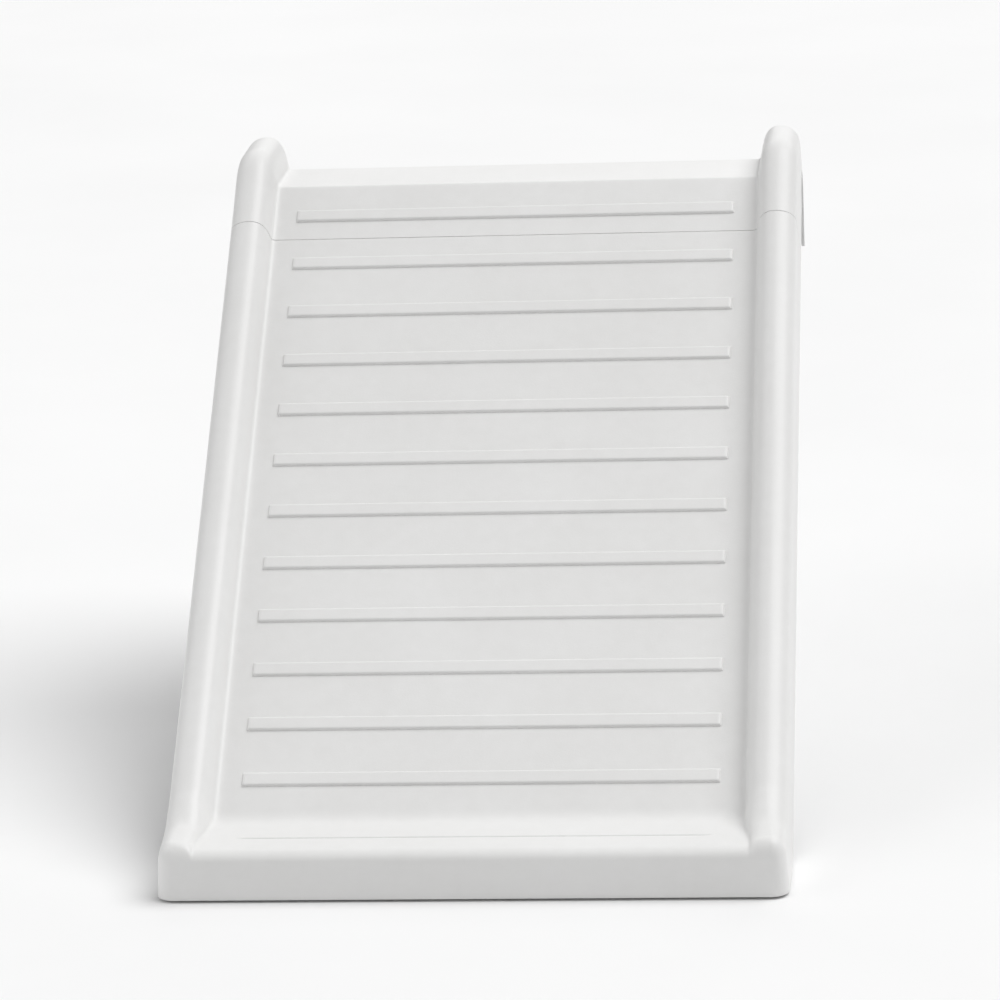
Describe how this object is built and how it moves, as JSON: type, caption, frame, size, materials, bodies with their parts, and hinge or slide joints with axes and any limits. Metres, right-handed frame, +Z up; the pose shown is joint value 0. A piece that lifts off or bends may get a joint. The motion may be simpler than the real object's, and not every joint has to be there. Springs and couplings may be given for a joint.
{
  "type": "pool entry ramp",
  "caption": "Ribbed moulded ramp that hooks over the top rail of a frame pool, with rounded side rails, a folding ramp section, rubber rail cradles and turning keepers.",
  "frame": {"origin": "on the axis of the pool's top rail, midway between the two rail cradles", "axes": "+X across the ramp along the pool's rail, +Y towards the water, +Z up; the ramp's toe points along -Y"},
  "size_m": [0.69, 0.985, 0.651],
  "materials": {
    "white_shell": "satin moulded plastic, fine texture",
    "grey_nylon": "glass-filled nylon, matte",
    "black_nylon": "matte moulded",
    "aluminium": "mill finish extrusion",
    "stainless": "drawn stainless steel",
    "brass": "turned",
    "black_rubber": "matte moulded rubber",
    "grey_foam": "closed-cell foam"
  },
  "bodies": {
    "saddle": {"saddle_shell": "white_shell", "cradle_left": "grey_nylon", "cradle_right": "grey_nylon", "cradle_pad_left": "black_rubber", "cradle_pad_right": "black_rubber", "cradle_screws": "stainless", "keeper_studs": "stainless", "platform_bar": "aluminium", "liner_pad": "grey_foam", "saddle_leaf_left": "grey_nylon", "saddle_leaf_right": "grey_nylon", "saddle_leaf_screws": "stainless", "hinge_rod": "stainless", "rod_caps": "black_nylon", "hinge_washers": "black_nylon"},
    "ramp": {"ramp_shell": "white_shell", "ramp_leaf_left": "grey_nylon", "ramp_leaf_right": "grey_nylon", "ramp_leaf_screws": "stainless", "hinge_bushes": "brass", "cross_beam_lower": "aluminium", "cross_beam_middle": "aluminium", "cross_beam_upper": "aluminium", "beam_screws": "stainless", "rail_tube_left": "aluminium", "rail_tube_right": "aluminium", "tube_clips": "grey_nylon", "tube_plugs": "black_nylon", "toe_sill": "white_shell", "toe_pads": "black_rubber", "toe_screws": "stainless"},
    "keeper_left": {"keeper_left": "grey_nylon"},
    "keeper_right": {"keeper_right": "grey_nylon"},
    "knob_left": {"keeper_knob_left": "black_nylon", "knob_insert_left": "brass"},
    "knob_right": {"keeper_knob_right": "black_nylon", "knob_insert_right": "brass"}
  },
  "joints": [
    {"name": "ramp_fold", "type": "hinge", "parent": "saddle", "child": "ramp", "pos_m": [0, -0.09063, -0.05136], "axis": [1, 0, 0], "range_deg": [0, 95]},
    {"name": "keeper_left_turn", "type": "hinge", "parent": "saddle", "child": "keeper_left", "pos_m": [-0.235, -0.038, -0.0273], "axis": [0, 0, 1], "range_deg": [0, 90]},
    {"name": "keeper_right_turn", "type": "hinge", "parent": "saddle", "child": "keeper_right", "pos_m": [0.235, -0.038, -0.0273], "axis": [0, 0, -1], "range_deg": [0, 90]},
    {"name": "knob_left_turn", "type": "hinge", "parent": "saddle", "child": "knob_left", "pos_m": [-0.235, -0.038, -0.0376], "axis": [0, 0, 1], "range_deg": [0, 180]},
    {"name": "knob_right_turn", "type": "hinge", "parent": "saddle", "child": "knob_right", "pos_m": [0.235, -0.038, -0.0376], "axis": [0, 0, 1], "range_deg": [0, 180]}
  ]
}
